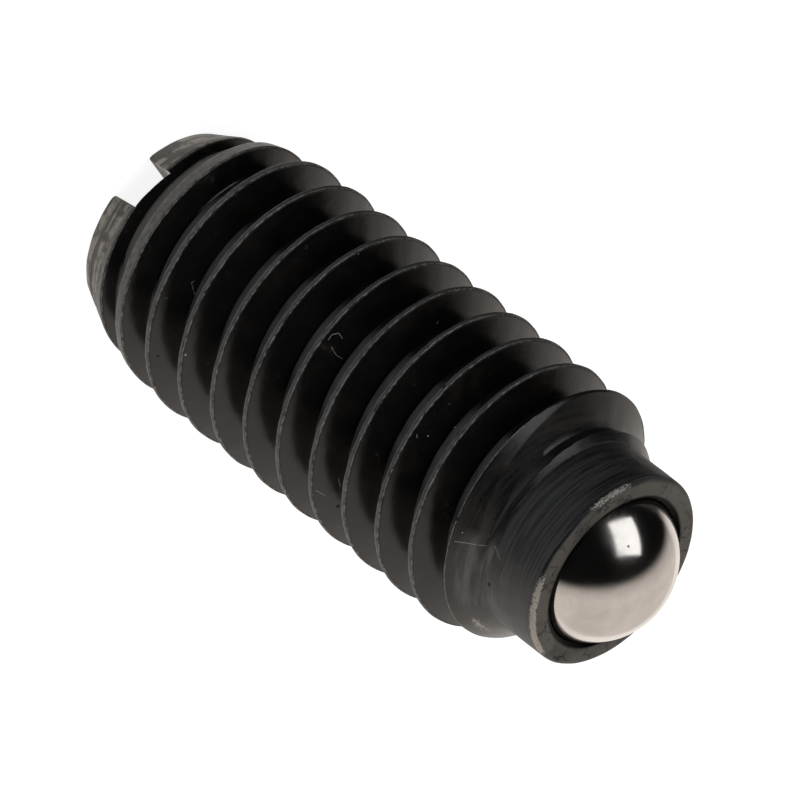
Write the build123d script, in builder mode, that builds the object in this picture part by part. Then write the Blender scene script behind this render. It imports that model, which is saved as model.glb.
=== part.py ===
"""Ball spring plunger, M6 x 1: a slotted threaded body, a steel ball and its spring.

Millimetres. The origin is the centre of the slotted end face and +Z runs along the axis to the
ball, so the plunger stands on its slotted end with the ball on top.
"""
import math
import os

from build123d import *

os.makedirs("parts", exist_ok=True)

# ---- Driving dimensions ----------------------------------------------------------------------

# Screw thread, right-hand
thread_diameter = 5.82
thread_pitch = 1.0
flank_angle = 30.0             # each flank to the plane square to the axis
crest_flat = thread_pitch / 8
root_flat = thread_pitch / 6
thread_phase = 65.0            # degrees about +Z where a crest crosses the slotted end's plane

# Body
body_length = 13.6             # slotted end face to nose face, ball not counted
end_face_diameter = 4.3
end_chamfer_length = 0.9
end_chamfer_angle = 25.0       # to the axis
lead_in_end = 2.95             # where the rounded lead-in reaches the full diameter
nose_diameter = 4.36
nose_length = 1.34
nose_edge = 0.1                # broken by the crimping
nose_cone_angle = 43.0         # the shoulder between thread and nose, to the axis

# Screwdriver slot
slot_width = 1.0
slot_depth = 0.85

# Ball
ball_diameter = 3.5
ball_protrusion = 1.08

# Bore and crimped lip
bore_clearance = 0.03          # ball to bore, on the radius
lip_angle = 12.0               # the lip's inner face to the axis
lip_edge = 0.05
drill_point_angle = 59.0       # drill point to the axis

# Spring, ends closed and ground
wire_diameter = 0.45
wire_sides = 8                 # the round wire is drawn with this many flats to keep it light
spring_clearance = 0.12        # coil to bore, on the radius
active_coils = 3
dead_coils = 1                 # closed coils at each end
coil_gap = 0.45                # between active coils, as fitted

seat_gap = 0.02                # between pieces that bear on each other
closed_gap = 0.02              # between the closed end coils
ground_depth = wire_diameter / 4
overrun = 0.3                  # cutting tools run this far past what they cut

# ---- Worked-out sizes ------------------------------------------------------------------------

crest_radius = thread_diameter / 2
flank_rise = (thread_pitch - crest_flat - root_flat) / 2
thread_depth = flank_rise / math.tan(math.radians(flank_angle))
root_radius = crest_radius - thread_depth
groove_depth = thread_depth + overrun
groove_half_width = root_flat / 2 + groove_depth * math.tan(math.radians(flank_angle))

end_face_radius = end_face_diameter / 2
end_chamfer_radius = end_face_radius + end_chamfer_length * math.tan(math.radians(end_chamfer_angle))
nose_radius = nose_diameter / 2
nose_base = body_length - nose_length
shoulder_length = (crest_radius - nose_radius) / math.tan(math.radians(nose_cone_angle))

ball_radius = ball_diameter / 2
ball_center = body_length + ball_protrusion - ball_radius

bore_radius = ball_radius + bore_clearance
lip_slope = math.tan(math.radians(lip_angle))
lip_apex = (ball_radius + seat_gap) / math.sin(math.radians(lip_angle))
lip_mouth_radius = (ball_center + lip_apex - body_length) * lip_slope
lip_root = ball_center + lip_apex - bore_radius / lip_slope

coil_outer_radius = bore_radius - spring_clearance
coil_radius = coil_outer_radius - wire_diameter / 2
closed_pitch = wire_diameter + closed_gap
active_pitch = wire_diameter + coil_gap
contact_rise = math.sqrt((ball_radius + wire_diameter / 2 + seat_gap) ** 2 - coil_radius ** 2)
top_coil_center = ball_center - contact_rise
coil_travel = active_coils * active_pitch + 2 * dead_coils * closed_pitch
bottom_coil_center = top_coil_center - coil_travel
spring_bottom = bottom_coil_center - wire_diameter / 2 + ground_depth
spring_top = top_coil_center + wire_diameter / 2 - ground_depth
drill_slope = math.tan(math.radians(drill_point_angle))
bore_floor = spring_bottom - seat_gap + (bore_radius - coil_outer_radius) / drill_slope
drill_tip = bore_floor - bore_radius / drill_slope


# ---- Threaded body ---------------------------------------------------------------------------


def groove_turn(start):
    """One turn of the thread's groove: a trapezium swept along a helix at the root."""
    with BuildPart() as turn:
        with BuildLine() as root_line:
            Helix(pitch=thread_pitch, height=thread_pitch, radius=root_radius, center=(0, 0, start))
        beginning = root_line.edge() @ 0
        with BuildSketch(Plane(origin=beginning, x_dir=(1, 0, 0), z_dir=root_line.edge() % 0)):
            with BuildLine():
                Polyline(
                    (0, -root_flat / 2),
                    (groove_depth, -groove_half_width),
                    (groove_depth, groove_half_width),
                    (0, root_flat / 2),
                    close=True,
                )
            make_face()
        sweep(path=root_line.edge(), is_frenet=True)
    return turn.part


first_groove = (0.5 - thread_phase / 360) * thread_pitch - 2 * thread_pitch
groove_turns = math.ceil((nose_base - first_groove) / thread_pitch)
grooves = [groove_turn(first_groove + i * thread_pitch) for i in range(groove_turns)]

with BuildPart() as body:
    # The turned blank: end face, chamfer, rounded lead-in, shank, shoulder and nose.
    with BuildSketch(Plane.XZ):
        with BuildLine():
            Polyline((0, 0), (end_face_radius, 0), (end_chamfer_radius, end_chamfer_length))
            TangentArc((crest_radius, lead_in_end), (end_chamfer_radius, end_chamfer_length), tangent=(0, -1))
            Polyline(
                (crest_radius, lead_in_end),
                (crest_radius, nose_base - shoulder_length),
                (nose_radius, nose_base),
                (nose_radius, body_length - nose_edge),
                (nose_radius - nose_edge, body_length),
                (0, body_length),
                (0, 0),
            )
        make_face()
    revolve(axis=Axis.Z)

    # The thread, cut turn by turn from below the end face until it has left the shoulder.
    add(grooves, mode=Mode.SUBTRACT)

    # The blind bore with its drill point, narrowed at the mouth by the crimped lip.
    with BuildSketch(Plane.XZ):
        with BuildLine():
            Polyline(
                (0, drill_tip),
                (bore_radius, bore_floor),
                (bore_radius, lip_root),
                (lip_mouth_radius + lip_edge * lip_slope, body_length - lip_edge),
                (lip_mouth_radius + lip_edge, body_length),
                (lip_mouth_radius + lip_edge, body_length + overrun),
                (0, body_length + overrun),
                close=True,
            )
        make_face()
    revolve(axis=Axis.Z, mode=Mode.SUBTRACT)

    # The screwdriver slot, right across the other end.
    with BuildSketch(Plane.XY):
        Rectangle(slot_width, thread_diameter + 2 * overrun)
    extrude(amount=slot_depth, mode=Mode.SUBTRACT)

body.part.label = "threaded_body"
export_step(body.part, "parts/threaded_body.step")

# ---- Ball ------------------------------------------------------------------------------------

with BuildPart() as ball:
    with BuildSketch(Plane.XZ):
        with BuildLine():
            Line((0, ball_center - ball_radius), (0, ball_center + ball_radius))
            ThreePointArc(
                (0, ball_center + ball_radius),
                (ball_radius, ball_center),
                (0, ball_center - ball_radius),
            )
        make_face()
    revolve(axis=Axis.Z)

ball.part.label = "ball"
export_step(ball.part, "parts/ball.step")

# ---- Spring ----------------------------------------------------------------------------------

with BuildPart() as spring:
    with BuildLine() as wire_line:
        closed_height = dead_coils * closed_pitch
        open_height = active_coils * active_pitch
        Helix(closed_pitch, closed_height, coil_radius, center=(0, 0, bottom_coil_center))
        Helix(active_pitch, open_height, coil_radius, center=(0, 0, bottom_coil_center + closed_height))
        Helix(closed_pitch, closed_height, coil_radius, center=(0, 0, top_coil_center - closed_height))
    wire_path = wire_line.wire()
    with BuildSketch(Plane(origin=wire_path @ 0, x_dir=(1, 0, 0), z_dir=wire_path % 0)):
        RegularPolygon(wire_diameter / 2, wire_sides)
    sweep(path=wire_path, is_frenet=True)
    # Both ends are ground flat.
    split(bisect_by=Plane.XY.offset(spring_bottom), keep=Keep.TOP)
    split(bisect_by=Plane.XY.offset(spring_top), keep=Keep.BOTTOM)

spring.part.label = "spring"
export_step(spring.part, "parts/spring.step")
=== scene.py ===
"""Ball spring plunger: the screw body, its ball and its spring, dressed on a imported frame.

Metres, in the frame's axes: the slotted end stands on the floor, and +Z runs to the ball.
"""
import math

import bpy
import numpy as np
from bpy.props import FloatProperty, FloatVectorProperty, IntProperty, PointerProperty
from bpy.types import Operator, Panel, PropertyGroup
from mathutils import Matrix, Vector


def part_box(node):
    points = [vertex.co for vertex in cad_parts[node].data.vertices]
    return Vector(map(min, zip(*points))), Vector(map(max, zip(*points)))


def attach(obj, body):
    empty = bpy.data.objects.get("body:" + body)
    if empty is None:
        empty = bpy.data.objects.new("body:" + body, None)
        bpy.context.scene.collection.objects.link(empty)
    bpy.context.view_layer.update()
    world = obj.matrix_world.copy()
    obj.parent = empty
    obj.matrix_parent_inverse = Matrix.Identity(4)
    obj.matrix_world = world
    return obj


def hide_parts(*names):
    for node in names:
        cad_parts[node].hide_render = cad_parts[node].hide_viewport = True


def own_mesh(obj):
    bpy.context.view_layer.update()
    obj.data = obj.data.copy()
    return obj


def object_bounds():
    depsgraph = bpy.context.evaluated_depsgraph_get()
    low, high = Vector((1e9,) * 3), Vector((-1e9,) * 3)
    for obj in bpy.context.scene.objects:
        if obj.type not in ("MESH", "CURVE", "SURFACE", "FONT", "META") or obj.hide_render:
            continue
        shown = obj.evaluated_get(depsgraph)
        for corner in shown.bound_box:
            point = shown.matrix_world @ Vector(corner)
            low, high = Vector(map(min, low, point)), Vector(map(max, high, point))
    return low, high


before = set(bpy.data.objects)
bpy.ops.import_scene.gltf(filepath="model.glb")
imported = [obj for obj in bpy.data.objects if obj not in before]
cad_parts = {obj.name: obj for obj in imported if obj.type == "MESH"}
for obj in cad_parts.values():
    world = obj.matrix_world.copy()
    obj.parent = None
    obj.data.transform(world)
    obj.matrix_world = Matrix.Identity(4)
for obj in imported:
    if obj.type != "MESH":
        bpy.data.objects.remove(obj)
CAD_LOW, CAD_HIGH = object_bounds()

bl_info = {
    "name": "Ball Spring Plunger",
    "version": (1, 0, 0),
    "blender": (4, 5, 0),
    "location": "View3D > Sidebar > Plunger",
    "description": "A slotted ball spring plunger with a black oxide body and a polished ball",
    "category": "Object",
}

_, BODY_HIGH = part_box("threaded_body")
BALL_LOW, BALL_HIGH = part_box("ball")
SPRING_LOW, SPRING_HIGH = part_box("spring")
MM = 0.001
TURN = 2 * math.pi
WELD_DISTANCE = 1e-9


# ---- Sizes and colours a user would change -------------------


def length(name, description, default):
    """A length in metres, shown in the scene's unit."""
    return FloatProperty(
        name=name, description=description, default=default, min=0.0, unit="LENGTH", precision=5
    )


def colour(name, description, default):
    """A plain colour."""
    return FloatVectorProperty(
        name=name, description=description, default=default,
        subtype="COLOR", size=3, min=0.0, max=1.0,
    )


def angle(name, description, degrees):
    """An angle, given in degrees and kept in radians."""
    return FloatProperty(
        name=name, description=description, default=math.radians(degrees), subtype="ANGLE"
    )


def power(name, description, watts):
    """A lamp's power in watts."""
    return FloatProperty(
        name=name, description=description, default=watts, min=0.0, unit="POWER"
    )


def whole(name, description, default, low):
    """A whole number with a least value."""
    return IntProperty(name=name, description=description, default=default, min=low)


class PLUNGER_PG_body(PropertyGroup):
    pitch: length("Pitch", "Thread pitch", 1.0 * MM)
    crest_radius: length("Crest Radius", "Axis to thread crest", BODY_HIGH.x)
    body_length: length("Body Length", "Slotted end to nose face", BODY_HIGH.z)
    crest_half: length("Crest Half-Width", "Half of a worn crest's land", 0.046 * MM)
    root_half: length("Root Half-Width", "Half of the groove's floor", 0.1 * MM)
    crown: length("Crown", "Height of the crest's crowning", 0.020 * MM)
    flank: angle("Flank Angle", "Each flank to the plane square to the axis", 30)
    phase: angle("Thread Phase", "Where a crest crosses the slotted end", 65)
    end_radius: length("End Radius", "Slotted end face", 2.15 * MM)
    chamfer_length: length("Chamfer Length", "Along the axis", 0.9 * MM)
    chamfer_radius: length("Chamfer Radius", "Where the chamfer meets the lead-in", 2.57 * MM)
    lead_in_end: length("Lead-In End", "Where the thread reaches its full diameter", 2.95 * MM)
    nose_radius: length("Nose Radius", "Plain nose", 2.18 * MM)
    nose_length: length("Nose Length", "Plain nose", 1.34 * MM)
    nose_edge: length("Nose Edge", "Broken outer edge of the nose", 0.1 * MM)
    shoulder_length: length("Shoulder Length", "Cone between thread and nose", 0.783 * MM)
    lip_radius: length("Lip Radius", "Mouth of the crimped lip", 1.667 * MM)
    lip_edge: length("Lip Edge", "Broken edge of the lip", 0.08 * MM)
    lip_root: length("Lip Root", "Height where the lip's inner cone meets the bore", 13.069 * MM)
    bore_radius: length("Bore Radius", "Blind bore", 1.78 * MM)
    bore_floor: length("Bore Floor", "Height where the drill point begins", 7.844 * MM)
    drill_tip: length("Drill Tip", "Height of the drill point's tip", 6.774 * MM)
    slot_width: length("Slot Width", "Screwdriver slot", 1.0 * MM)
    slot_depth: length("Slot Depth", "Screwdriver slot", 0.85 * MM)
    slot_mouth: length("Slot Mouth", "Worn rounding of the slot's edges", 0.12 * MM)
    columns: whole("Columns", "Faces round the axis", 168, 24)


class PLUNGER_PG_ball(PropertyGroup):
    radius: length("Radius", "Ball", (BALL_HIGH.x - BALL_LOW.x) / 2)
    columns: whole("Columns", "Faces round the axis", 192, 24)


class PLUNGER_PG_spring(PropertyGroup):
    wire_radius: length("Wire Radius", "Round wire", 0.225 * MM)
    coil_radius: length("Coil Radius", "Axis to the wire's centre", 1.435 * MM)
    closed_pitch: length("Closed Pitch", "Pitch of the closed end coils", 0.47 * MM)
    active_pitch: length("Active Pitch", "Pitch of the open coils", 0.9 * MM)
    active_coils: whole("Active Coils", "Open coils", 3, 1)
    steps: whole("Steps", "Faces along each coil", 56, 8)
    sides: whole("Sides", "Faces round the wire", 20, 6)


class PLUNGER_PG_finish(PropertyGroup):
    oxide: colour("Black Oxide", "Body", (0.0022, 0.0021, 0.0020))
    brown: colour("Brown Oxide", "Body where the oxide is thinner", (0.0060, 0.0048, 0.0038))
    worn: colour("Worn Oxide", "Crests, where it is rubbed thin", (0.105, 0.105, 0.104))
    burr: colour("Bright Burr", "Edges of the crests", (0.24, 0.235, 0.23))
    faded: colour("Faded Oxide", "Slotted end", (0.175, 0.167, 0.155))
    rim: colour("Dusty Rim", "End face of the nose", (0.044, 0.040, 0.034))
    turned: colour("Turned Oxide", "Ridges of the tool lines on the nose", (0.030, 0.031, 0.032))
    bare: colour("Bare Steel", "Chipped edges", (0.50, 0.475, 0.44))
    dust: colour("Dust", "Specks and lint", (0.30, 0.29, 0.27))
    # This colour is real dirt on the dark specks and cracks, and painted shade inside the lip.
    dirt_and_painted_shade: colour("Dirt", "Dark specks, cracks and the lip's inside", (0.001, 0.001, 0.001))
    steel: colour("Polished Steel", "Ball", (0.74, 0.71, 0.68))
    stain: colour("Stain", "Dark specks on the ball", (0.05, 0.04, 0.035))
    wire: colour("Spring Wire", "Spring", (0.36, 0.35, 0.34))
    oil: colour("Old Oil", "Dark specks on the spring", (0.03, 0.025, 0.02))


class PLUNGER_PG_stage(PropertyGroup):
    camera_lens: FloatProperty(
        name="Lens", description="Focal length in millimetres", default=571.7, min=1.0,
        unit="CAMERA",
    )
    floor_colour: colour("Floor", "Pale floor", (0.30, 0.30, 0.30))
    floor_lift: FloatProperty(
        name="Floor Lift", description="White that the camera sees besides the lit floor",
        default=0.88, min=0.0,
    )
    backdrop: colour("Backdrop", "Warm backdrop that metal shows", (0.72, 0.66, 0.61))
    # The far floor, near floor and floor patch are painted light and shade: colours that the floor
    # glows with for light and metal only, though it is no lamp.
    painted_light_far_floor: colour("Far Floor", "Lit floor behind that metal shows", (0.98, 0.92, 0.86))
    painted_shade_near_floor: colour("Near Floor", "Unlit floor in front that metal shows", (0.04, 0.04, 0.04))
    patch: colour("Floor Patch", "Cool bright patch of floor that metal shows",
                  (0.52, 0.54, 0.565))
    dark: colour("Dark", "Darkness that metal shows elsewhere", (0.004, 0.004, 0.004))
    softbox_power: power("Softbox Power", "Softbox", 0.135)
    fill_power: power("Fill Power", "Overhead fill", 0.9)


# ---- Surfaces as whole arrays --------------------------------


def smooth_step(x, low, high):
    """0 below low, 1 above high, and an S-shaped cubic between them."""
    t = np.clip((x - low) / (high - low), 0.0, 1.0)
    return t * t * (3 - 2 * t)


def ripple(theta, z, seed, count=9, turns=(3, 40), rise=(1.0, 9.0)):
    """Smooth unevenness, mostly from -1 to 1: a sum of sines over twice the sum's usual size.

    Each sine has a whole number of waves round the axis, so the sum closes on itself, and rises
    by so many radians per millimetre along it.
    """
    draw = np.random.default_rng(seed)
    waves = draw.integers(turns[0], turns[1], count)
    climb = draw.uniform(rise[0], rise[1], count) * draw.choice((-1, 1), count)
    start = draw.uniform(0, TURN, count)
    total = np.zeros(np.broadcast(theta, z).shape)
    for n, c, s in zip(waves, climb, start):
        total += np.sin(n * theta + c * z / MM + s)
    return total / math.sqrt(count * 0.5) / 2


def weld(points, quads):
    """Joins points in the same place and drops the sides that vanish.

    Returns the points that are left, the corners of the faces in one list, and each face's
    number of sides, three or four.
    """
    keys = np.round(points / WELD_DISTANCE).astype(np.int64)
    _, first, place = np.unique(keys, axis=0, return_index=True, return_inverse=True)
    quads = place.reshape(-1)[quads]
    keep = quads != np.roll(quads, -1, axis=1)
    sides = keep.sum(axis=1)
    split = (quads[:, 0] == quads[:, 2]) | (quads[:, 1] == quads[:, 3])
    alive = (sides >= 3) & ~split
    return points[first], quads[alive][keep[alive]], sides[alive]


def new_object(name, data):
    """An object in the scene."""
    piece = bpy.data.objects.new(name, data)
    bpy.context.scene.collection.objects.link(piece)
    return piece


def mesh_piece(name, points, quads):
    """A smooth mesh object from an array of points and an array of quads."""
    points, loops, sides = weld(points, quads)
    mesh = bpy.data.meshes.new(name)
    mesh.vertices.add(len(points))
    mesh.vertices.foreach_set("co", points.astype(np.float32).ravel())
    mesh.loops.add(len(loops))
    mesh.loops.foreach_set("vertex_index", loops.astype(np.int32))
    mesh.polygons.add(len(sides))
    mesh.polygons.foreach_set("loop_start", (np.cumsum(sides) - sides).astype(np.int32))
    mesh.update(calc_edges=True)
    mesh.validate()
    mesh.shade_smooth()
    return new_object(name, mesh)


def closed_quads(rows, columns, shift=0):
    """Quads of a grid whose columns close on themselves.

    The last column joins the first one, shift rows further on, which closes a helix.
    """
    row = np.arange(rows - 1)[:, None]
    column = np.arange(columns)[None, :]
    step = np.where(column == columns - 1, shift, 0)
    beyond = (column + 1) % columns
    low = np.minimum(row + step, rows - 1)
    high = np.minimum(row + 1 + step, rows - 1)
    corners = np.stack(
        np.broadcast_arrays(row * columns + column, low * columns + beyond,
                            high * columns + beyond, (row + 1) * columns + column), axis=-1
    )
    return corners.reshape(-1, 4)


def around(radius, theta, z):
    """Points at a radius, an angle and a height."""
    return np.stack(
        np.broadcast_arrays(radius * np.cos(theta), radius * np.sin(theta), z), axis=-1
    ).reshape(-1, 3)


# ---- Screw body ----------------------------------------------

# Fine forms that the thread tool and wear leave.
BURR_WIDTH = 0.022 * MM
BURR_HEIGHT = 0.006 * MM
CREST_ROUNDING = 0.004 * MM
THREAD_UNEVENNESS = 0.004 * MM
NOSE_UNEVENNESS = 0.003 * MM
NOSE_EDGE_BULGE = 0.12
SHARP_ANGLE = math.radians(40)

# Where the rows of the helical grid lie on each side of a crest, as shares of the pitch. The
# one at LAND_ROW follows the edge of the crest's land, which is never wider than WIDEST_LAND.
LAND_ROW = 0.0625
THREAD_ROWS = (0.02, 0.04, 0.053, LAND_ROW, 0.072, 0.09, 0.125, 0.17, 0.22, 0.27, 0.32, 0.37,
               0.417, 0.445, 0.475)
WIDEST_LAND = 0.36

# Rows of the grid along each level run of the body, and along the slot's flared mouth.
END_FACE_ROWS = 8
NOSE_ROWS = 14
NOSE_EDGE_ROWS = 5
RIM_ROWS = 6
LIP_ROWS = 6
BORE_ROWS = 11
POINT_ROWS = 4
MOUTH_ROWS = 9


def blank_radius(z, s):
    """The turned blank: a chamfer, a parabola, the full diameter, and a cone down to the nose.

    The parabola of the lead-in meets the full diameter level.
    """
    chamfer = s.end_radius + (s.chamfer_radius - s.end_radius) * z / s.chamfer_length
    left = np.clip((s.lead_in_end - z) / (s.lead_in_end - s.chamfer_length), 0.0, 1.0)
    shank = s.crest_radius - (s.crest_radius - s.chamfer_radius) * left**2
    radius = np.where(z < s.chamfer_length, chamfer, shank)
    slope = (s.crest_radius - s.nose_radius) / s.shoulder_length
    shoulder = s.nose_radius + (nose_base(s) - z) * slope
    return np.minimum(radius, np.maximum(shoulder, s.nose_radius))


def nose_base(s):
    """Height where the shoulder's cone meets the nose."""
    return s.body_length - s.nose_length


def shoulder_foot(s):
    """Height where the full diameter would meet the shoulder's cone."""
    return nose_base(s) - s.shoulder_length


def turns_up(theta, z, s):
    """Turns from the thread's start to an angle and a height: whole on a crest."""
    return z / s.pitch - (theta - s.phase) / TURN


def thread_radius(theta, z, s):
    """The thread: crest radius less a depth that grows with the distance from the nearest crest.

    The crest is slightly crowned, then the depth is a ramp with a flat root, and small burrs
    stand where crest and flank meet.
    """
    turn = turns_up(theta, z, s) % 1.0
    away = np.minimum(turn, 1 - turn) * s.pitch
    run = s.pitch / 2 - s.crest_half - s.root_half
    depth = np.clip(away - s.crest_half, 0, run) / math.tan(s.flank)
    crown = s.crown * np.minimum(away / s.crest_half, 1) ** 2
    lip = np.exp(-(((away - s.crest_half) / BURR_WIDTH) ** 2))
    burr = lip * (0.5 + 0.5 * ripple(theta, z, seed=5, turns=(20, 79), rise=(0.2, 2.0)))
    return s.crest_radius - depth - crown + BURR_HEIGHT * burr


def border_of_land(middle, side, s):
    """How far from a crest's middle its land ends on one side, wider where the blank is thinner.

    The land ends where the flank, run out, meets the blank: three rounds of a fixed point.
    """
    border = np.full_like(middle, s.crest_half)
    for _ in range(3):
        missing = s.crest_radius - blank_radius(np.clip(middle + side * border, 0, None), s)
        border = s.crest_half + np.clip(missing, 0, None) * math.tan(s.flank)
    return np.minimum(border, WIDEST_LAND * s.pitch)


def soft_minimum(a, b, width):
    """The smaller of two, blended over a width."""
    return 0.5 * (a + b - np.sqrt((a - b) ** 2 + width**2))


def outer_radius(theta, z, s):
    """The smaller of the blank and the thread, with a slight unevenness."""
    radius = soft_minimum(blank_radius(z, s), thread_radius(theta, z, s), CREST_ROUNDING)
    return radius + THREAD_UNEVENNESS * ripple(theta, z, seed=11)


def thread_rows(theta, s):
    """Heights of the helical rows, and how many make a pitch.

    Rows keep a fixed share of the way from the crest's middle to the root's. They bend so that
    one row follows the edge of the land. They start below the slotted end.
    """
    share = np.array(THREAD_ROWS)
    share = np.concatenate((-share[::-1], (0.0,), share, (0.5,)))
    pitches = np.arange(-2, math.ceil(s.body_length / s.pitch) + 2)
    middle = (pitches[:, None, None] + (theta - s.phase)[None] / TURN) * s.pitch
    part = share[None, :, None]
    border = np.where(part < 0, border_of_land(middle, -1, s), border_of_land(middle, 1, s))
    land = LAND_ROW * s.pitch
    away = np.abs(part) * s.pitch
    inside = away * border / land
    outside = border + (away - land) * (s.pitch / 2 - border) / (s.pitch / 2 - land)
    z = middle + np.sign(part) * np.where(away < land, inside, outside)
    return z.reshape(-1, theta.shape[-1]), len(share)


def onward(start, stop, rows):
    """Evenly spaced values, from just beyond the start to the stop."""
    return np.linspace(start, stop, rows + 1)[1:]


def profile_rows(s):
    """The plain part of the body from the nose's foot to the drill tip, as radius and height.

    Straight runs along the nose, the rim, the lip's cone, the bore and the drill point, with an
    edge between nose and rim that is a chamfer bulged by a sine.
    """
    edge = onward(0, 1, NOSE_EDGE_ROWS)
    bulge = NOSE_EDGE_BULGE * s.nose_edge * np.sin(edge * math.pi)
    radius = np.concatenate((
        np.full(NOSE_ROWS, s.nose_radius),
        s.nose_radius - s.nose_edge * edge + bulge,
        onward(s.nose_radius - s.nose_edge, s.lip_radius + s.lip_edge, RIM_ROWS),
        np.linspace(s.lip_radius, s.bore_radius, LIP_ROWS),
        np.full(BORE_ROWS, s.bore_radius),
        onward(s.bore_radius, 0.0, POINT_ROWS),
    ))
    height = np.concatenate((
        np.linspace(nose_base(s) + 0.02 * MM, s.body_length - s.nose_edge, NOSE_ROWS),
        s.body_length - s.nose_edge * (1 - edge) + bulge * (edge < 1),
        np.full(RIM_ROWS, s.body_length),
        np.linspace(s.body_length - s.lip_edge, s.lip_root, LIP_ROWS),
        onward(s.lip_root, s.bore_floor, BORE_ROWS),
        onward(s.bore_floor, s.drill_tip, POINT_ROWS),
    ))
    return radius, height


def body_surface(s):
    """The whole body: end face, helical rows clipped between the ends, then level rows."""
    theta = np.linspace(0, TURN, s.columns, endpoint=False)[None, :]
    heights, per_pitch = thread_rows(theta, s)
    z = np.clip(heights, 0.0, nose_base(s))
    threaded = around(outer_radius(theta, z, s), theta, z)
    edge = outer_radius(theta, np.zeros_like(theta), s)
    face = np.linspace(0.0, 1.0, END_FACE_ROWS + 1)[:-1, None] * edge
    bottom = np.concatenate((around(face, theta, 0.0), threaded[: s.columns]))
    radius, height = (row[:, None] for row in profile_rows(s))
    uneven = NOSE_UNEVENNESS * ripple(theta, height, seed=17) * (radius > 0)
    top = np.concatenate((threaded[-s.columns:], around(radius + uneven, theta, height)))
    quads = np.concatenate((
        closed_quads(END_FACE_ROWS + 1, s.columns),
        closed_quads(len(heights), s.columns, per_pitch) + len(bottom),
        closed_quads(len(radius) + 1, s.columns) + len(bottom) + len(threaded),
    ))
    return np.concatenate((bottom, threaded, top)), quads


def slot_cutter(s):
    """The slot's outline, whose mouth flares in a quarter circle, carried along Y as a prism."""
    reach = 2 * s.crest_radius
    height = np.linspace(0.0, s.slot_mouth, MOUTH_ROWS)
    flare = s.slot_mouth - np.sqrt(s.slot_mouth**2 - (s.slot_mouth - height) ** 2)
    half = np.concatenate(((s.slot_mouth,), flare, (0.0,))) + s.slot_width / 2
    height = np.concatenate(((-s.slot_depth,), height, (s.slot_depth,)))
    x = np.concatenate((half, -half[::-1]))
    z = np.concatenate((height, height[::-1]))
    near = np.stack((x, np.full(len(x), -reach), z), axis=-1)
    ring = np.arange(len(x))
    after = (ring + 1) % len(x)
    sides = np.stack((ring, ring + len(x), after + len(x), after), axis=-1)
    cutter = bpy.data.meshes.new("slot_cutter")
    cutter.from_pydata(
        np.concatenate((near, near * (1, -1, 1))).tolist(), [],
        [ring.tolist(), (ring[::-1] + len(x)).tolist(), *sides.tolist()],
    )
    return cutter


def cut_slot(piece, s):
    """Takes the screwdriver slot out of the body, right across its end."""
    cutter = slot_cutter(s)
    tool = new_object("slot_cutter", cutter)
    cut = piece.modifiers.new("slot", "BOOLEAN")
    cut.operation = "DIFFERENCE"
    cut.solver = "EXACT"
    cut.object = tool
    depsgraph = bpy.context.evaluated_depsgraph_get()
    made = bpy.data.meshes.new_from_object(piece.evaluated_get(depsgraph))
    piece.modifiers.clear()
    old, piece.data = piece.data, made
    bpy.data.meshes.remove(old)
    bpy.data.objects.remove(tool)
    bpy.data.meshes.remove(cutter)
    made.name = piece.name


# ---- Zones of the body's finish ------------------------------

# Arcs round the axis as centre and half, and how far they fade beyond their ends, in degrees.
LONG_CHIP = (-25, 24)
SHORT_CHIP = (-114, 9)
KNOCKED_CORNER = (8, 6)
SCUFFED_FOOT = (-32, 14)
ARC_FADE = 12

# Heights of the marks on the shoulder and the nose.
WORN_CREST_END = 11.35 * MM
CONE_LINE_FADE = (11.85 * MM, 12.0 * MM)
KNOCK_HEIGHT = 11.93 * MM
SCUFF_RISE = (11.7 * MM, 11.95 * MM)
SCUFF_FADE = (12.4 * MM, 12.9 * MM)


def fade(x, low, high):
    """1 below low, 0 above high, and an S-shaped cubic between them."""
    return 1 - smooth_step(x, low, high)


def ridge(x, width):
    """1 where x is 0, falling off as a bell on both sides."""
    return np.exp(-((x / width) ** 2))


def arc(theta, centre, half):
    """1 within an arc round the axis, falling to 0 beyond its ends, in degrees."""
    apart = np.abs((np.degrees(theta) - centre + 180) % 360 - 180)
    return fade(apart, half, half + ARC_FADE)


def off_thread(z, s):
    """0 along the thread and 1 beyond the shoulder's foot."""
    return smooth_step(z, shoulder_foot(s) - 0.1 * MM, shoulder_foot(s) + 0.3 * MM)


def thread_masks(radius, theta, z, s):
    """Masks of the thread and of the slotted end.

    crest: the crests with their sides. land: the middle of each crest's land. crest_edge: both
    edges of that land. end: the slotted end. land and crest_edge also hold the line where the
    last flank meets the shoulder's cone.
    """
    below = blank_radius(z, s) - radius
    turn = ((turns_up(theta, z, s) + 0.5) % 1.0 - 0.5) * s.pitch
    border = s.crest_half + (s.crest_radius - blank_radius(z, s)) * math.tan(s.flank)
    from_border = np.abs(np.abs(turn) - border)
    on_cone = (turn < 0) * (z > shoulder_foot(s)) * fade(z, *CONE_LINE_FADE)
    cone_line = on_cone * fade(from_border, 0.014 * MM, 0.045 * MM)
    on_thread = (1 - off_thread(z, s)) * (z < WORN_CREST_END)
    land = fade(below, 0.004 * MM, 0.023 * MM) * on_thread
    crest_edge = ridge(from_border, 0.016 * MM) * np.where(turn > 0, 0.8, 0.45) * on_thread
    return {
        "crest": fade(below, 0.03 * MM, 0.07 * MM) * on_thread,
        "land": np.maximum(land, cone_line),
        "crest_edge": np.maximum(crest_edge, cone_line),
        "end": fade(z, 0.5 * MM, 0.95 * MM) * fade(below, 0.02 * MM, 0.06 * MM),
    }


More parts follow.
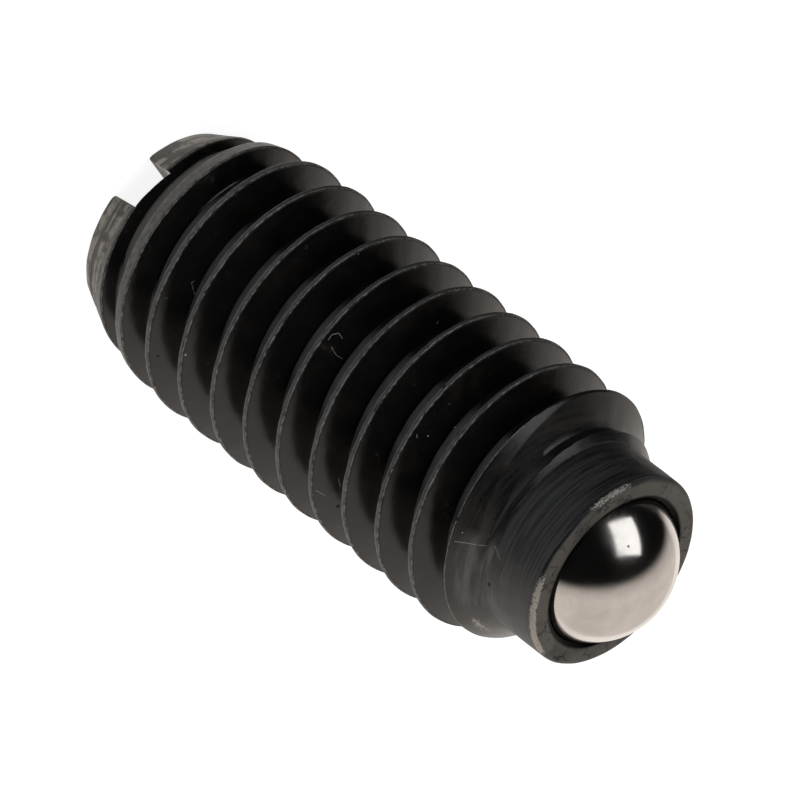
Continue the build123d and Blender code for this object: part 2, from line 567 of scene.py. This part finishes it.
def nose_masks(radius, theta, z, s):
    """Masks of the shoulder, the nose and the lip.

    neck: the last flank and all beyond it. nose: the plain nose. chip: the nose's outer edge,
    strongest over two arcs, and a knocked corner of the shoulder. mouth: inside the lip, where it
    is painted black as shade. scuff: the foot of the nose on one side. rim: the nose's end face.
    """
    base, foot = nose_base(s), shoulder_foot(s)
    on_nose = smooth_step(z, base - 0.15 * MM, base + 0.15 * MM)
    outside = radius > s.bore_radius + 0.2 * MM
    from_edge = np.hypot(radius - (s.nose_radius - s.nose_edge / 2),
                         z - (s.body_length - s.nose_edge / 2))
    chipped = np.clip(0.2 + 0.8 * (arc(theta, *LONG_CHIP) + 0.75 * arc(theta, *SHORT_CHIP)), 0, 1)
    knock = arc(theta, *KNOCKED_CORNER) * ridge(z - KNOCK_HEIGHT, 0.1 * MM) * outside
    scuff = arc(theta, *SCUFFED_FOOT) * smooth_step(z, *SCUFF_RISE) * fade(z, *SCUFF_FADE)
    face = smooth_step(z, s.body_length - 0.03 * MM, s.body_length - 0.005 * MM)
    return {
        "neck": smooth_step(z, foot - 0.45 * MM, foot - 0.1 * MM),
        "nose": 0.15 * off_thread(z, s) + 0.85 * on_nose,
        "chip": np.maximum(fade(from_edge, 0.035 * MM, 0.12 * MM) * chipped, 0.85 * knock),
        # mouth: the lip's inside, which is painted black as shade.
        "mouth": (z > s.lip_root - 0.1 * MM) * (radius < s.lip_radius + s.lip_edge + 0.004 * MM),
        "scuff": scuff * outside,
        "rim": face * (radius > s.lip_radius),
    }


def mark_zones(piece, s):
    """Marks where the finish changes, as masks from 0 to 1 on the mesh's points."""
    mesh = piece.data
    place = np.empty(len(mesh.vertices) * 3, np.float32)
    mesh.vertices.foreach_get("co", place)
    x, y, z = place.reshape(-1, 3).astype(float).T
    radius, theta = np.hypot(x, y), np.arctan2(y, x)
    masks = thread_masks(radius, theta, z, s) | nose_masks(radius, theta, z, s)
    for name, values in masks.items():
        layer = mesh.attributes.new(name, "FLOAT", "POINT")
        layer.data.foreach_set("value", values.astype(np.float32))


class PLUNGER_OT_body(Operator):
    """Makes the threaded body with its slot, nose and crimped lip"""

    bl_idname = "plunger.body"
    bl_label = "Screw Body"

    def execute(self, context):
        s = context.scene.plunger_body
        points, quads = body_surface(s)
        piece = mesh_piece("screw_body", points, quads)
        cut_slot(piece, s)
        piece.data.shade_smooth()
        piece.data.set_sharp_from_angle(angle=SHARP_ANGLE)
        mark_zones(piece, s)
        piece.data.materials.clear()
        piece.data.materials.append(black_oxide(context.scene.plunger_finish, s))
        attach(piece, "body")
        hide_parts("threaded_body")
        return {"FINISHED"}


# ---- Ball ----------------------------------------------------


def ball_surface(s):
    """A sphere: level rings from pole to pole, which shrink to a point at each."""
    rise = np.linspace(-math.pi / 2, math.pi / 2, s.columns // 2 + 1)[:, None]
    theta = np.linspace(0, TURN, s.columns, endpoint=False)[None, :]
    middle = (BALL_LOW.z + BALL_HIGH.z) / 2
    reach = s.radius * np.cos(rise) * (np.abs(rise) < math.pi / 2 - 1e-9)
    points = around(reach, theta, middle + s.radius * np.sin(rise))
    return points, closed_quads(len(rise), s.columns)


class PLUNGER_OT_ball(Operator):
    """Makes the polished ball"""

    bl_idname = "plunger.ball"
    bl_label = "Ball"

    def execute(self, context):
        points, quads = ball_surface(context.scene.plunger_ball)
        piece = mesh_piece("polished_ball", points, quads)
        piece.data.materials.append(polished_steel(context.scene.plunger_finish))
        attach(piece, "ball")
        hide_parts("ball")
        return {"FINISHED"}


# ---- Spring --------------------------------------------------


def spring_surface(s):
    """Round wire carried along a helix whose pitch opens between its closed ends, ground flat.

    The wire ends in flat discs: a full ring, then a row drawn in to the wire's centre.
    """
    low, high = SPRING_LOW.z, SPRING_HIGH.z
    turns = s.active_coils + 2
    turn = np.linspace(0, turns, turns * s.steps + 1)
    open_length = s.active_coils * s.active_pitch
    rise = np.interp(turn, (0, 1, turns - 1, turns),
                     (0, s.closed_pitch, s.closed_pitch + open_length,
                      2 * s.closed_pitch + open_length))
    middle = (low + high) / 2 - rise[-1] / 2 + rise
    order = np.concatenate(([0], np.arange(len(turn)), [len(turn) - 1]))
    full = np.ones_like(order)[:, None]
    full[[0, -1]] = 0
    ring = np.linspace(0, TURN, s.sides, endpoint=False)[None, :]
    reach = s.coil_radius + s.wire_radius * full * np.cos(ring)
    height = middle[order, None] + s.wire_radius * full * np.sin(ring)
    theta = (turn[order] * TURN)[:, None]
    return around(reach, theta, np.clip(height, low, high)), closed_quads(len(order), s.sides)


class PLUNGER_OT_spring(Operator):
    """Makes the coil spring under the ball"""

    bl_idname = "plunger.spring"
    bl_label = "Spring"

    def execute(self, context):
        points, quads = spring_surface(context.scene.plunger_spring)
        piece = mesh_piece("coil_spring", points, quads[:, ::-1])
        piece.data.materials.append(spring_wire(context.scene.plunger_finish))
        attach(piece, "body")
        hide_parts("spring")
        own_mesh(piece)
        return {"FINISHED"}


# ---- Node helpers --------------------------------------------


def feed(tree, socket, term):
    """Links a socket to another node's socket, or gives it a value."""
    if isinstance(term, bpy.types.NodeSocket):
        tree.links.new(term, socket)
    else:
        socket.default_value = term


def add_node(tree, kind, inputs=None, **settings):
    """A shader node with its settings, and its inputs as values or as other nodes' sockets."""
    node = tree.nodes.new("ShaderNode" + kind)
    for key, value in settings.items():
        setattr(node, key, value)
    for key, term in (inputs or {}).items():
        feed(tree, node.inputs[key], term)
    return node


def calc(tree, operation, *terms):
    """One sum, product or other step on up to three terms."""
    node = add_node(tree, "Math", dict(enumerate(terms)), operation=operation)
    return node.outputs[0]


def times(tree, first, second):
    """A product."""
    return calc(tree, "MULTIPLY", first, second)


def highest(tree, *terms):
    """The largest of some values."""
    largest, *rest = terms
    for term in rest:
        largest = calc(tree, "MAXIMUM", largest, term)
    return largest


def vector_calc(tree, operation, *terms, output=0):
    """One vector calculation on up to three terms."""
    node = add_node(tree, "VectorMath", dict(enumerate(terms)), operation=operation)
    return node.outputs[output]


def step_between(tree, value, low, high):
    """0 below low and 1 above high, with an S between, or falling where low is the larger."""
    node = add_node(tree, "MapRange", {0: value, 1: low, 2: high},
                    interpolation_type="SMOOTHSTEP")
    return node.outputs[0]


def blend_colour(tree, share_of_second, first, second):
    """The first colour turning into the second."""
    first, second = (term if isinstance(term, bpy.types.NodeSocket) else (*term, 1)
                     for term in (first, second))
    node = add_node(tree, "Mix", {0: share_of_second, 6: first, 7: second}, data_type="RGBA")
    return node.outputs[2]


def blend_value(tree, share_of_second, first, second):
    """The first value turning into the second."""
    node = add_node(tree, "Mix", {0: share_of_second, 2: first, 3: second}, data_type="FLOAT")
    return node.outputs[0]


def place_of(tree):
    """Object coordinates, in metres."""
    return add_node(tree, "TexCoord").outputs["Object"]


def noise(tree, place, scale, detail, **more):
    """Smooth noise over a place: a value and a colour."""
    inputs = {"Vector": place, "Scale": scale, "Detail": detail, **more}
    return add_node(tree, "TexNoise", inputs).outputs


def new_group(name, inputs, outputs):
    """An empty shader node group with named inputs, numbers or vectors, and number outputs."""
    group = bpy.data.node_groups.new(name, "ShaderNodeTree")
    for key, default in inputs.items():
        kind = "NodeSocketVector" if isinstance(default, tuple) else "NodeSocketFloat"
        socket = group.interface.new_socket(key, in_out="INPUT", socket_type=kind)
        socket.default_value = default
    for key in outputs:
        group.interface.new_socket(key, in_out="OUTPUT", socket_type="NodeSocketFloat")
    given = group.nodes.new("NodeGroupInput")
    result = group.nodes.new("NodeGroupOutput")
    return group, given.outputs, result.inputs


def use_group(tree, build, **values):
    """Places the group that a function builds, built the first time only, with its own values.

    The group is called what the function is called.
    """
    name = build.__name__
    group = bpy.data.node_groups.get(name) or build(name)
    node = add_node(tree, "Group", node_tree=group)
    for key, term in values.items():
        feed(tree, node.inputs[key], term)
    return node.outputs


# ---- Effects, as node groups ---------------------------------


def stretched_place(tree, along, across):
    """Object coordinates scaled by one factor along the axis and by another across it."""
    split = add_node(tree, "SeparateXYZ", {0: place_of(tree)})
    scales = (across, across, along)
    scaled = add_node(tree, "CombineXYZ", {
        place: times(tree, split.outputs[place], scale)
        for place, scale in enumerate(scales)
    })
    return scaled.outputs[0]


def shaken_place(tree, scale, detail, reach):
    """Object coordinates, each moved by up to a reach by noise."""
    shake = noise(tree, place_of(tree), scale, detail)["Color"]
    return vector_calc(tree, "MULTIPLY_ADD", shake, (reach, reach, reach), place_of(tree))


def ragged_edge(name):
    """A worn mask with a ragged edge: mask plus noise, cut softly at a level."""
    group, given, result = new_group(
        name,
        {"Mask": 0.0, "Along": 20000.0, "Across": 20000.0, "Ragged": 0.5, "Level": 0.5,
         "Soft": 0.15},
        ("Worn",),
    )
    rough = noise(group, stretched_place(group, given["Along"], given["Across"]), 1.0, 5.0,
                  Roughness=0.65)[0]
    lift = times(group, calc(group, "SUBTRACT", rough, 0.5), given["Ragged"])
    level = calc(group, "ADD", given["Mask"], lift)
    low = calc(group, "SUBTRACT", given["Level"], given["Soft"])
    high = calc(group, "ADD", given["Level"], given["Soft"])
    feed(group, result["Worn"], step_between(group, level, low, high))
    return group


def turning_lines(name):
    """Fine lines round the axis: noise that is short along the axis and long round it."""
    group, given, result = new_group(name, {"Along": 24000.0, "Across": 700.0}, ("Lines",))
    place = stretched_place(group, given["Along"], given["Across"])
    feed(group, result["Lines"], noise(group, place, 1.0, 3.0, Roughness=0.6)[0])
    return group


def metal_grain(name):
    """Fine grain and broad cloudiness of a metal surface, each from 0 to 1."""
    group, given, result = new_group(
        name, {"Fine": 45000.0, "Broad": 1800.0}, ("Grain", "Cloud")
    )
    place = place_of(group)
    fine = noise(group, place, given["Fine"], 3.0, Roughness=0.55)
    broad = noise(group, place, given["Broad"], 6.0, Roughness=0.6, Distortion=0.4)
    feed(group, result["Grain"], fine[0])
    feed(group, result["Cloud"], broad[0])
    return group


def scattered_specks(name):
    """Scattered specks: round spots in a few of the cells of a random division."""
    group, given, result = new_group(
        name, {"Scale": 1500.0, "Share": 0.1, "Size": 0.08}, ("Specks",)
    )
    cells = add_node(group, "TexVoronoi", {
        "Vector": shaken_place(group, 24000.0, 2.0, 0.04 * MM), "Scale": given["Scale"]
    })
    chance = add_node(group, "SeparateColor", {0: cells.outputs["Color"]})
    chosen = calc(group, "LESS_THAN", chance.outputs[0], given["Share"])
    reach = times(group, given["Size"], calc(group, "ADD", chance.outputs[1], 0.4))
    spot = step_between(group, cells.outputs["Distance"], reach, times(group, reach, 0.6))
    feed(group, result["Specks"], times(group, spot, chosen))
    return group


def short_cracks(name):
    """Short dark cracks: borders between the cells of a random division, kept in places."""
    group, given, result = new_group(name, {"Scale": 2600.0, "Width": 0.035}, ("Cracks",))
    cells = add_node(group, "TexVoronoi", {
        "Vector": shaken_place(group, 9000.0, 3.0, 0.2 * MM), "Scale": given["Scale"]
    }, feature="DISTANCE_TO_EDGE")
    line = step_between(group, cells.outputs["Distance"], given["Width"], 0.0)
    kept = step_between(group, noise(group, place_of(group), 2300.0, 2.0)[0], 0.46, 0.54)
    feed(group, result["Cracks"], times(group, line, kept))
    return group


def straight_stroke(name):
    """A thin straight mark: 1 near the segment between two points, 0 beyond its width."""
    group, given, result = new_group(
        name, {"From": (0, 0, 0), "Run": (0, 0, 0), "Width": 0.010 * MM}, ("Mark",)
    )
    run, width = given["Run"], given["Width"]
    away = vector_calc(group, "SUBTRACT", place_of(group), given["From"])
    reach = calc(group, "DIVIDE", vector_calc(group, "DOT_PRODUCT", away, run, output="Value"),
                 vector_calc(group, "DOT_PRODUCT", run, run, output="Value"))
    reach = calc(group, "MINIMUM", calc(group, "MAXIMUM", reach, 0.0), 1.0)
    nearest = add_node(group, "VectorMath", {0: run, "Scale": reach}, operation="SCALE")
    gap = vector_calc(group, "DISTANCE", away, nearest.outputs[0], output="Value")
    mark = step_between(group, gap, width, times(group, width, 0.5))
    feed(group, result["Mark"], mark)
    return group


# ---- Materials -----------------------------------------------

# Lint and scratches on the body: each a run of (angle round the axis in degrees, height in mm).
LINT = (
    ((-84.5, 6.69), (-87, 6.68), (-89.5, 6.72), (-89, 6.79)),
    ((-83, 6.77), (-82, 6.83), (-81.5, 6.88), (-82, 6.95)),
    ((-74, 3.06), (-66.5, 2.95), (-63, 3.02), (-61.5, 3.06)),
    ((-49, 11.67), (-49.7, 11.81), (-50.4, 11.95), (-51, 12.09)),
    ((-56.5, 12.07), (-52, 12.27), (-48, 12.46)),
    ((-24, 7.84), (-22, 7.90), (-20, 7.94)),
    ((-29.5, 8.06), (-24, 8.09)),
    ((-76, 9.72), (-75, 9.74)),
    ((-128, 7.76), (-127, 7.78)),
)
LINT_STRENGTH = 0.45
MICRON = 1e-6

# The zones that are rubbed, burred, faded and chipped, and how ragged the edge of each is.
WEAR = {
    "land": {"Along": 26000.0, "Across": 7000.0, "Ragged": 1.9, "Level": 0.88, "Soft": 0.45},
    "crest_edge": {"Along": 22000.0, "Across": 9000.0, "Ragged": 1.8, "Level": 0.8, "Soft": 0.35},
    "end": {"Along": 6000.0, "Across": 6000.0, "Ragged": 1.3, "Level": 0.42, "Soft": 0.3},
    "chip": {"Along": 30000.0, "Across": 30000.0, "Ragged": 2.2, "Level": 0.82, "Soft": 0.24},
}


def new_material(name):
    """An empty node material with its shader."""
    material = bpy.data.materials.new(name)
    material.use_nodes = True
    tree = material.node_tree
    return material, tree, tree.nodes["Principled BSDF"]


def mask_of(tree, name):
    """A mask that the piece's mesh carries."""
    return add_node(tree, "Attribute", attribute_name=name).outputs["Fac"]


def darker(tint, strength):
    """A colour at a share of its strength."""
    return [part * strength for part in tint]


def raise_surface(tree, shader, *layers):
    """Bump from a sum of heights, each a value and its depth in micrometres."""
    total, *rest = (times(tree, height, depth) for height, depth in layers)
    for height in rest:
        total = calc(tree, "ADD", total, height)
    bump = add_node(tree, "Bump", {"Height": total, "Distance": MICRON, "Strength": 1.0})
    feed(tree, shader.inputs["Normal"], bump.outputs[0])


def lint_on_body(tree, s):
    """Where lint lies on the body or a scratch crosses it: strokes from point to point."""
    total = 0.0
    for run in LINT:
        degrees, heights = np.array(run).T
        theta, z = np.radians(degrees), heights * MM
        points = around(outer_radius(theta, z, s), theta, z)
        for start, stop in zip(points, points[1:]):
            stroke = use_group(tree, straight_stroke, From=tuple(start), Run=tuple(stop - start))
            total = calc(tree, "MAXIMUM", total, stroke["Mark"])
    return times(tree, total, LINT_STRENGTH)


def black_oxide(f, body):
    """Black oxide on turned steel.

    Near black and satin, rubbed thin on the crests, faded and streaked at the slotted end, lined
    by the tool on the nose, and chipped to bare steel along the nose's edge. Inside the lip it is
    painted black and mirror-dark as painted shade.
    """
    material, tree, shader = new_material("black_oxide_steel")
    grain = use_group(tree, metal_grain)
    cloud = grain["Cloud"]
    lines = use_group(tree, turning_lines)["Lines"]
    flow = use_group(tree, turning_lines, Along=5000.0, Across=500.0)["Lines"]
    nose, rim, mouth = (mask_of(tree, name) for name in ("nose", "rim", "mouth"))
    rubbed, burred, faded, chipped = (
        use_group(tree, ragged_edge, Mask=mask_of(tree, zone), **wear)["Worn"]
        for zone, wear in WEAR.items())
    cracked = times(tree, rim, use_group(tree, short_cracks, Width=0.05)["Cracks"])
    scraped = times(tree, mask_of(tree, "scuff"), step_between(tree, flow, 0.42, 0.68))
    lint = lint_on_body(tree, body)
    light = use_group(tree, scattered_specks, Scale=1900.0, Share=0.12, Size=0.055)["Specks"]
    dark = use_group(tree, scattered_specks, Scale=2100.0, Share=0.26, Size=0.10)["Specks"]
    ridges = times(tree, nose, step_between(tree, lines, 0.40, 0.62))
    dusty = times(tree, rim, step_between(tree, cloud, 0.30, 0.55))
    streak = times(tree, step_between(tree, flow, 0.44, 0.60),
                   step_between(tree, cloud, 0.42, 0.54))
    end_colour = blend_colour(tree, streak, darker(f.faded, 0.12), f.faded)

    colour_now = blend_colour(tree, step_between(tree, cloud, 0.42, 0.72), f.oxide, f.brown)
    for mask, tint in (
        (ridges, f.turned), (dusty, f.rim), (rubbed, f.worn), (burred, f.burr),
        (faded, end_colour), (scraped, f.worn), (chipped, f.bare),
        # Dark specks and cracks are real dirt; the lip's inside (mouth) is painted black here as
        # painted shade.
        (highest(tree, light, lint), f.dust), (highest(tree, dark, mouth, cracked), f.dirt_and_painted_shade),
    ):
        colour_now = blend_colour(tree, mask, colour_now, tint)
    feed(tree, shader.inputs["Base Color"], colour_now)

    metal = chipped
    for mask, strength in ((rubbed, 0.7), (scraped, 0.8), (burred, 0.8), (faded, 0.25)):
        metal = highest(tree, metal, times(tree, mask, strength))
    spots = highest(tree, light, dark, lint, cracked)
    metal = times(tree, metal, calc(tree, "SUBTRACT", 1.0, spots))
    # Full metal with a black colour inside the lip keeps it dark: painted shade.
    feed(tree, shader.inputs["Metallic"], highest(tree, metal, mouth))

    rough = calc(tree, "MULTIPLY_ADD", cloud, 0.14, 0.11)
    for mask, value in ((mask_of(tree, "crest"), 0.62), (rubbed, 0.38), (burred, 0.45),
                        (faded, 0.5), (chipped, 0.28)):
        rough = blend_value(tree, mask, rough, value)
    rough = calc(tree, "MULTIPLY_ADD", times(tree, nose, lines), 0.45, rough)
    rough = calc(tree, "MULTIPLY_ADD", mask_of(tree, "neck"), 0.12, rough)
    feed(tree, shader.inputs["Roughness"], blend_value(tree, spots, rough, 0.8))
    shader.inputs["Specular IOR Level"].default_value = 0.65

    scored = times(tree, lines, calc(tree, "MULTIPLY_ADD", nose, 0.85, 0.08))
    raise_surface(tree, shader, (grain["Grain"], 1.0), (cloud, 7.0), (scored, 14.0))
    return material


def polished_steel(f):
    """Mirror-polished bearing steel, slightly clouded, with small dark specks."""
    material, tree, shader = new_material("polished_steel")
    grain = use_group(tree, metal_grain, Fine=9000.0, Broad=1300.0)
    dark = use_group(tree, scattered_specks, Scale=2600.0, Share=0.10, Size=0.07)["Specks"]
    smear = step_between(tree, grain["Cloud"], 0.40, 0.72)
    clouded = blend_colour(tree, smear, f.steel, darker(f.steel, 0.86))
    feed(tree, shader.inputs["Base Color"],
         blend_colour(tree, times(tree, dark, 0.85), clouded, f.stain))
    shader.inputs["Metallic"].default_value = 1.0
    rough = calc(tree, "MULTIPLY_ADD", smear, 0.08, 0.12)
    feed(tree, shader.inputs["Roughness"], calc(tree, "MULTIPLY_ADD", dark, 0.3, rough))
    raise_surface(tree, shader, (grain["Grain"], 0.25), (grain["Cloud"], 1.2))
    return material


def spring_wire(f):
    """Drawn spring wire, oiled, with faint clouds and specks."""
    material, tree, shader = new_material("spring_steel")
    grain = use_group(tree, metal_grain, Fine=26000.0, Broad=2500.0)
    dark = use_group(tree, scattered_specks, Scale=3000.0, Share=0.15, Size=0.08)["Specks"]
    clouded = blend_colour(tree, step_between(tree, grain["Cloud"], 0.35, 0.7), f.wire,
                           darker(f.wire, 0.6))
    feed(tree, shader.inputs["Base Color"], blend_colour(tree, dark, clouded, f.oil))
    shader.inputs["Metallic"].default_value = 1.0
    feed(tree, shader.inputs["Roughness"], calc(tree, "MULTIPLY_ADD", grain["Grain"], 0.2, 0.2))
    raise_surface(tree, shader, (grain["Grain"], 0.8))
    return material


# ---- Stage ---------------------------------------------------

CAMERA_PLACE = (0.033311, -0.210921, 0.146414)
CAMERA_RIGHT = (-0.673088, 0.330445, 0.661634)
CAMERA_UP = (-0.727865, -0.454472, -0.513485)
FLOOR_HALF = 0.6

# Lamps: azimuth and elevation from the part in degrees, distance from it, width and height.
SOFTBOX = (-146, 38, 0.25, 0.16, 0.20)
OVERHEAD = (-60, 62, 0.30, 0.35, 0.35)

# What metal shows of the room: azimuths in degrees, and how far the painted bright spots of floor
# reach.
BEHIND = 59
BEHIND_RISE = 5
PATCH = -74
PATCH_FADE = (45 * MM, 20 * MM)
UNDER_FADE = (5.5 * MM, 4.0 * MM)


def direction(azimuth, elevation):
    """A unit vector from an azimuth counted from +X and an elevation, in degrees."""
    a, e = math.radians(azimuth), math.radians(elevation)
    return Vector((math.cos(a) * math.cos(e), math.sin(a) * math.cos(e), math.sin(e)))


def stand(piece, place, axes):
    """Places a lamp or camera by its right-hand, upward and backward directions."""
    turned = Matrix(axes).transposed().to_4x4()
    piece.matrix_world = Matrix.Translation(Vector(place)) @ turned


def card(name, middle, lamp_place, watts, mirrored=True):
    """A soft rectangular lamp aimed at the part's middle.

    The camera doesn't see it, and polished metal doesn't either if it isn't mirrored.
    """
    azimuth, elevation, distance, width, height = lamp_place
    lamp = bpy.data.lights.new(name, "AREA")
    lamp.shape = "RECTANGLE"
    lamp.size, lamp.size_y = width, height
    lamp.energy = watts
    piece = new_object(name, lamp)
    piece.visible_camera = False
    piece.visible_glossy = mirrored
    place = middle + distance * direction(azimuth, elevation)
    back = (place - middle).normalized()
    right = Vector((0, 0, 1)).cross(back).normalized()
    stand(piece, place, (right, back.cross(right), back))


def facing(tree, vector, azimuth, elevation=0.0):
    """How far a vector points in a direction: its dot product with it."""
    return vector_calc(tree, "DOT_PRODUCT", vector, direction(azimuth, elevation),
                       output="Value")


def empty_tree(owner):
    """The cleared node tree of a material or a world."""
    owner.use_nodes = True
    owner.node_tree.nodes.clear()
    return owner.node_tree


def show_apart(tree, mirrored, seen, output):
    """Ends a tree that gives camera rays one shader, and light and metal another."""
    path = add_node(tree, "LightPath")
    mix = add_node(tree, "MixShader", {
        0: path.outputs["Is Camera Ray"], 1: mirrored.outputs[0], 2: seen.outputs[0]
    })
    add_node(tree, output, {"Surface": mix.outputs[0]})


def floor_material(s):
    """Pale floor with a soft shadow.

    Metal sees it glow with painted light and shade instead: painted bright on the far side, painted
    dark on the near side, and painted bright in one near patch and under the part.
    """
    material = bpy.data.materials.new("pale_floor")
    tree = empty_tree(material)
    pale = add_node(tree, "BsdfDiffuse", {"Color": (*s.floor_colour, 1)})
    lift = add_node(tree, "Emission",
                    {"Color": (1, 1, 1, 1), "Strength": s.floor_lift})
    seen = add_node(tree, "AddShader", {0: pale.outputs[0], 1: lift.outputs[0]})

    place = place_of(tree)
    side = vector_calc(tree, "NORMALIZE", place)
    away = vector_calc(tree, "LENGTH", place, output="Value")
    # Painted light and shade for light and metal: the floor glows bright behind, dark in front, and
    # bright in a near patch and under the part.
    far = step_between(tree, facing(tree, side, BEHIND), -0.05, 0.35)
    patch = times(tree, step_between(tree, facing(tree, side, PATCH), 0.50, 0.93),
                  step_between(tree, away, *PATCH_FADE))
    under = step_between(tree, away, *UNDER_FADE)
    glow = blend_colour(tree, far, s.painted_shade_near_floor, s.painted_light_far_floor)
    glow = blend_colour(tree, patch, glow, s.patch)
    glow = blend_colour(tree, under, glow, s.painted_light_far_floor)
    mirrored = add_node(tree, "Emission", {"Color": glow, "Strength": 1.0})
    show_apart(tree, mirrored, seen, "OutputMaterial")
    return material


def studio_world(s):
    """White to the camera; for light and metal, a warm backdrop behind and darkness elsewhere."""
    world = bpy.data.worlds.new("studio")
    tree = empty_tree(world)
    seen = add_node(tree, "Background", {"Color": (1, 1, 1, 1), "Strength": 1.0})
    behind = facing(tree, place_of(tree), BEHIND, BEHIND_RISE)
    backdrop = blend_value(tree, 0.25, step_between(tree, behind, 0.03, 0.28),
                           step_between(tree, behind, 0.22, 0.50))
    glow = blend_colour(tree, backdrop, s.dark, s.backdrop)
    mirrored = add_node(tree, "Background", {"Color": glow, "Strength": 1.0})
    show_apart(tree, mirrored, seen, "OutputWorld")
    return world


def floor_piece(s):
    """A square floor round the origin."""
    mesh = bpy.data.meshes.new("floor")
    corners = [(x * FLOOR_HALF, y * FLOOR_HALF, 0) for x, y in ((-1, -1), (1, -1), (1, 1), (-1, 1))]
    mesh.from_pydata(corners, [], [(0, 1, 2, 3)])
    mesh.materials.append(floor_material(s))
    return new_object("floor", mesh)


def camera_piece(s):
    """The camera, above the ball's side, rolled so that the axis runs down to the right."""
    lens = bpy.data.cameras.new("camera")
    lens.lens = s.camera_lens
    lens.sensor_width = 36
    lens.clip_start, lens.clip_end = 0.01, 10
    camera = new_object("camera", lens)
    right, up = Vector(CAMERA_RIGHT), Vector(CAMERA_UP)
    stand(camera, CAMERA_PLACE, (right, up, right.cross(up)))
    return camera


class PLUNGER_OT_stage(Operator):
    """Makes the floor, the lamps, the background and the camera"""

    bl_idname = "plunger.stage"
    bl_label = "Stage"

    def execute(self, context):
        s = context.scene.plunger_stage
        middle = Vector((0, 0, (CAD_LOW.z + CAD_HIGH.z) / 2))
        floor = floor_piece(s)
        card("softbox", middle, SOFTBOX, s.softbox_power)
        card("overhead", middle, OVERHEAD, s.fill_power, mirrored=False)
        context.scene.world = studio_world(s)
        context.scene.camera = camera_piece(s)
        context.scene.view_settings.view_transform = "Standard"
        return {"FINISHED"}


# ---- Panel and registration ----------------------------------

STEPS = (PLUNGER_OT_body, PLUNGER_OT_ball, PLUNGER_OT_spring, PLUNGER_OT_stage)
SETTINGS = {
    "plunger_body": PLUNGER_PG_body,
    "plunger_ball": PLUNGER_PG_ball,
    "plunger_spring": PLUNGER_PG_spring,
    "plunger_finish": PLUNGER_PG_finish,
    "plunger_stage": PLUNGER_PG_stage,
}


class PLUNGER_PT_sidebar(Panel):
    """Lists the steps that make the plunger, and its sizes and colours"""

    bl_label = "Ball Spring Plunger"
    bl_idname = "PLUNGER_PT_sidebar"
    bl_space_type = "VIEW_3D"
    bl_region_type = "UI"
    bl_category = "Plunger"

    def draw(self, context):
        for step in STEPS:
            self.layout.operator(step.bl_idname)
        for name, group in SETTINGS.items():
            box = self.layout.box()
            for key in group.__annotations__:
                box.prop(getattr(context.scene, name), key)


def register():
    for name, group in SETTINGS.items():
        bpy.utils.register_class(group)
        setattr(bpy.types.Scene, name, PointerProperty(type=group))
    for step in (*STEPS, PLUNGER_PT_sidebar):
        bpy.utils.register_class(step)


def unregister():
    for step in (PLUNGER_PT_sidebar, *reversed(STEPS)):
        bpy.utils.unregister_class(step)
    for name, group in reversed(SETTINGS.items()):
        delattr(bpy.types.Scene, name)
        bpy.utils.unregister_class(group)


def main():
    register()
    bpy.ops.plunger.body()
    bpy.ops.plunger.ball()
    bpy.ops.plunger.spring()
    bpy.ops.plunger.stage()


if __name__ == "__main__":
    main()
